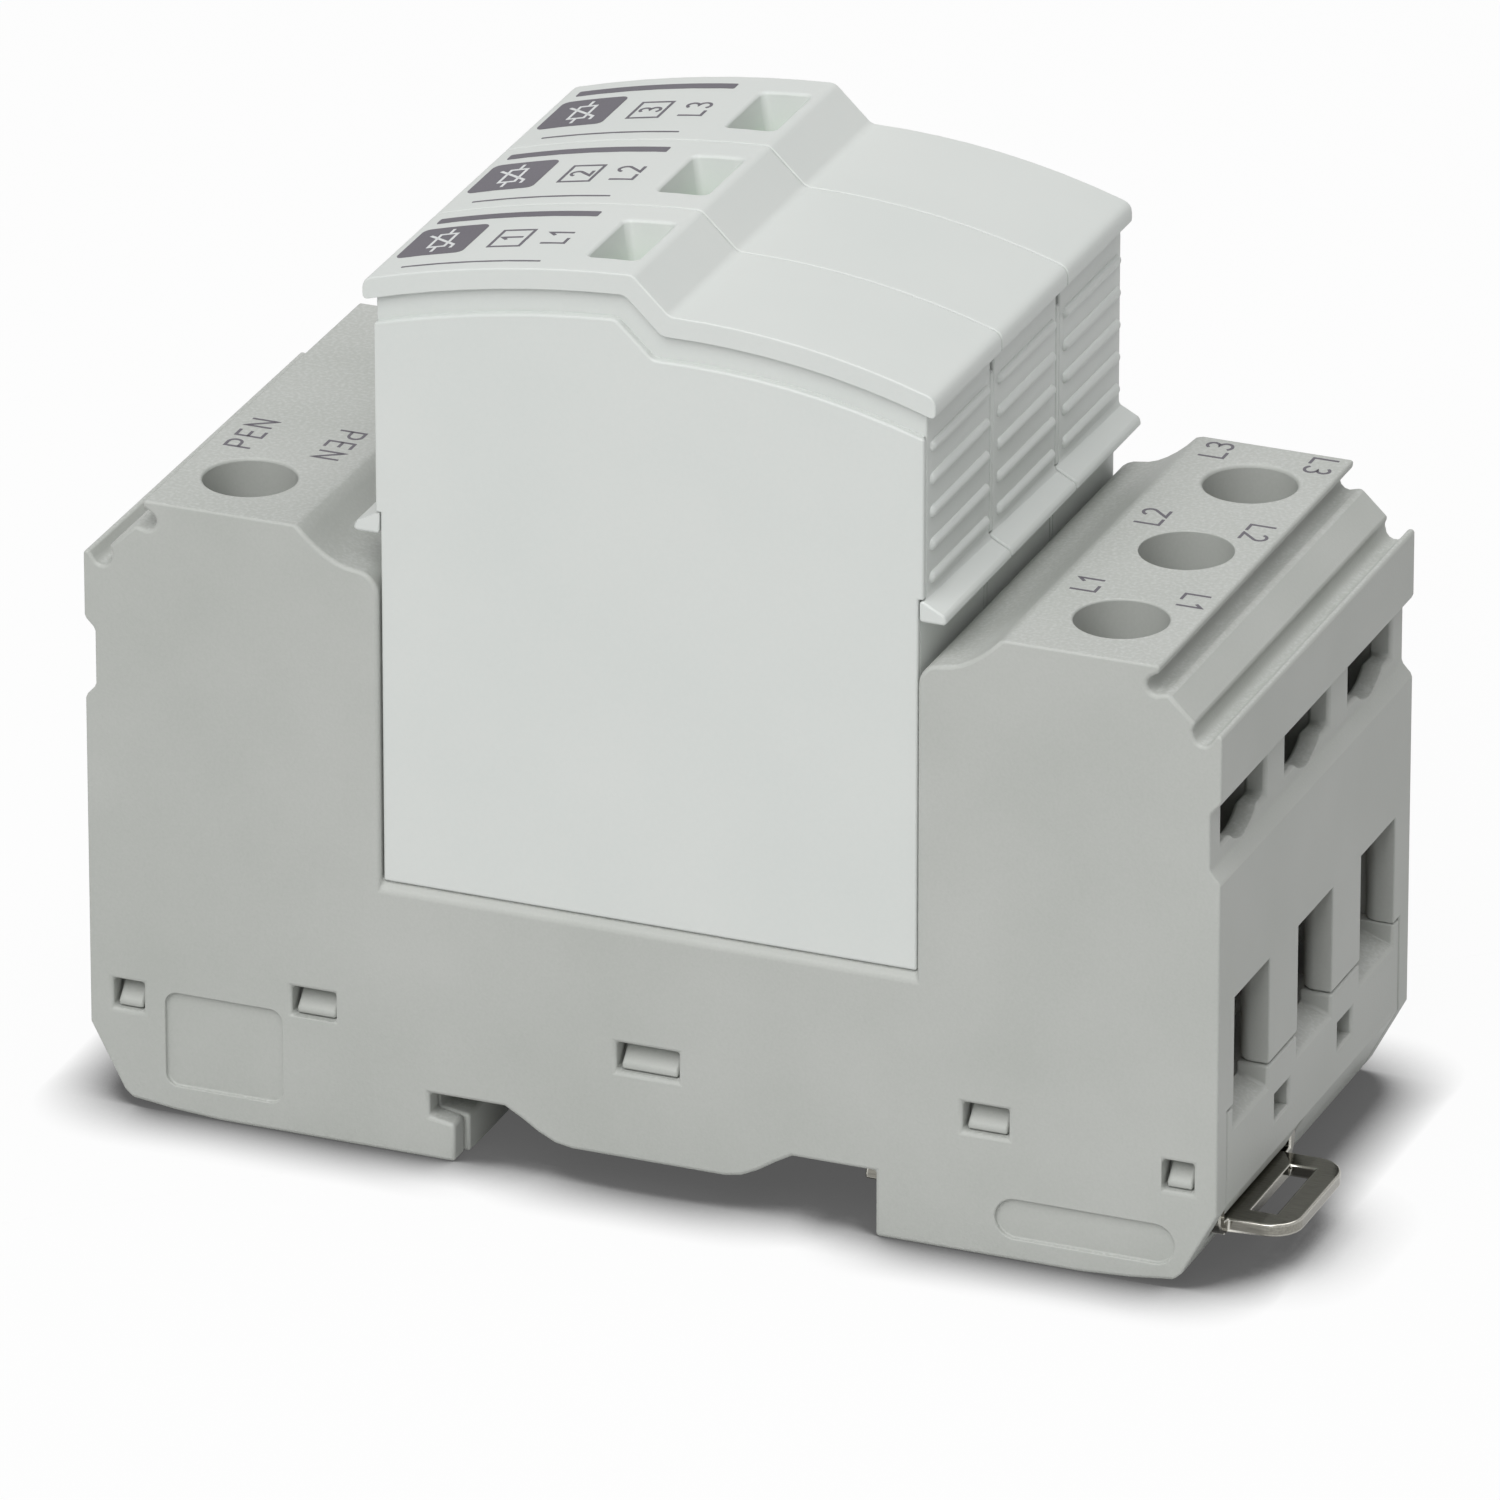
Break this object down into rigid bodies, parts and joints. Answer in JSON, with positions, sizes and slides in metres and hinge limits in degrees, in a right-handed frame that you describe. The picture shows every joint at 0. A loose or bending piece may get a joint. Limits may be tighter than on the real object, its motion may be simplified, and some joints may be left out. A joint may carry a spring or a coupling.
{
  "type": "din rail surge arrester",
  "caption": "Surge arrester for a mounting rail: grey terminal base with pull-out plugs, status windows, screw clamps and a sprung rail latch.",
  "frame": {"origin": "middle of the rail seat, on the rail's centre line and the middle pole", "axes": "+X from the common terminal to the line terminals, +Y across the poles along the rail, +Z away from the rail"},
  "size_m": [0.0942, 0.0406, 0.0737],
  "materials": {
    "base_plastic": "moulded, fine matte",
    "plug_plastic": "moulded, fine satin",
    "latch_steel": "nickel-plated sheet",
    "spring_steel": "bright wire",
    "copper": "bare copper strip",
    "clamp_steel": "zinc-plated",
    "varistor_ceramic": "epoxy-coated",
    "flag_green": "moulded",
    "tray_red": "moulded"
  },
  "bodies": {
    "base": {"housing": "base_plastic", "bottom_cover": "base_plastic", "latch_spring": "spring_steel", "pen_busbar": "copper", "line_contact_1": "copper", "line_contact_2": "copper", "line_contact_3": "copper"},
    "plug_1": {"plug_case_1": "plug_plastic", "plug_cover_1": "plug_plastic", "varistor_1": "varistor_ceramic", "line_blade_1": "copper", "pen_blade_1": "copper", "indicator_tray_1": "tray_red", "flag_spring_1": "spring_steel"},
    "status_1": {"status_slider_1": "flag_green"},
    "plug_2": {"plug_case_2": "plug_plastic", "plug_cover_2": "plug_plastic", "varistor_2": "varistor_ceramic", "line_blade_2": "copper", "pen_blade_2": "copper", "indicator_tray_2": "tray_red", "flag_spring_2": "spring_steel"},
    "status_2": {"status_slider_2": "flag_green"},
    "plug_3": {"plug_case_3": "plug_plastic", "plug_cover_3": "plug_plastic", "varistor_3": "varistor_ceramic", "line_blade_3": "copper", "pen_blade_3": "copper", "indicator_tray_3": "tray_red", "flag_spring_3": "spring_steel"},
    "status_3": {"status_slider_3": "flag_green"},
    "latch": {"rail_latch": "latch_steel"},
    "screw_1": {"terminal_screw_1": "clamp_steel"},
    "clamp_1": {"clamp_cage_1": "clamp_steel"},
    "screw_2": {"terminal_screw_2": "clamp_steel"},
    "clamp_2": {"clamp_cage_2": "clamp_steel"},
    "screw_3": {"terminal_screw_3": "clamp_steel"},
    "clamp_3": {"clamp_cage_3": "clamp_steel"},
    "screw_pen": {"terminal_screw_pen": "clamp_steel"},
    "clamp_pen": {"clamp_cage_pen": "clamp_steel"}
  },
  "joints": [
    {"name": "plug_1_lift", "type": "slide", "parent": "base", "child": "plug_1", "axis": [0, 0, 1], "range_m": [0, 0.05]},
    {"name": "status_1_slide", "type": "slide", "parent": "plug_1", "child": "status_1", "axis": [-1, 0, 0], "range_m": [0, 0.005], "deforming": ["flag_spring_1"]},
    {"name": "plug_2_lift", "type": "slide", "parent": "base", "child": "plug_2", "axis": [0, 0, 1], "range_m": [0, 0.05]},
    {"name": "status_2_slide", "type": "slide", "parent": "plug_2", "child": "status_2", "axis": [-1, 0, 0], "range_m": [0, 0.005], "deforming": ["flag_spring_2"]},
    {"name": "plug_3_lift", "type": "slide", "parent": "base", "child": "plug_3", "axis": [0, 0, 1], "range_m": [0, 0.05]},
    {"name": "status_3_slide", "type": "slide", "parent": "plug_3", "child": "status_3", "axis": [-1, 0, 0], "range_m": [0, 0.005], "deforming": ["flag_spring_3"]},
    {"name": "latch_slide", "type": "slide", "parent": "base", "child": "latch", "axis": [1, 0, 0], "range_m": [0, 0.004], "stiffness_N_per_m": 400, "springref_m": -0.004, "deforming": ["latch_spring"]},
    {"name": "screw_1_turn", "type": "hinge", "parent": "base", "child": "screw_1", "pos_m": [0.0345, -0.01333, 0.03], "axis": [0, 0, -1], "range_deg": [0, 1810]},
    {"name": "clamp_1_rise", "type": "slide", "parent": "base", "child": "clamp_1", "axis": [0, 0, 1], "range_m": [0, 0.004]},
    {"name": "screw_2_turn", "type": "hinge", "parent": "base", "child": "screw_2", "pos_m": [0.0345, 0, 0.03], "axis": [0, 0, -1], "range_deg": [0, 1810]},
    {"name": "clamp_2_rise", "type": "slide", "parent": "base", "child": "clamp_2", "axis": [0, 0, 1], "range_m": [0, 0.004]},
    {"name": "screw_3_turn", "type": "hinge", "parent": "base", "child": "screw_3", "pos_m": [0.0345, 0.01333, 0.03], "axis": [0, 0, -1], "range_deg": [0, 1810]},
    {"name": "clamp_3_rise", "type": "slide", "parent": "base", "child": "clamp_3", "axis": [0, 0, 1], "range_m": [0, 0.004]},
    {"name": "screw_pen_turn", "type": "hinge", "parent": "base", "child": "screw_pen", "pos_m": [-0.0345, -0.01333, 0.03], "axis": [0, 0, -1], "range_deg": [0, 1810]},
    {"name": "clamp_pen_rise", "type": "slide", "parent": "base", "child": "clamp_pen", "axis": [0, 0, 1], "range_m": [0, 0.004]}
  ],
  "couplings": [
    {"joint": "screw_1_turn", "follows": "clamp_1_rise", "rad_per_m": 7854},
    {"joint": "screw_2_turn", "follows": "clamp_2_rise", "rad_per_m": 7854},
    {"joint": "screw_3_turn", "follows": "clamp_3_rise", "rad_per_m": 7854},
    {"joint": "screw_pen_turn", "follows": "clamp_pen_rise", "rad_per_m": 7854}
  ]
}
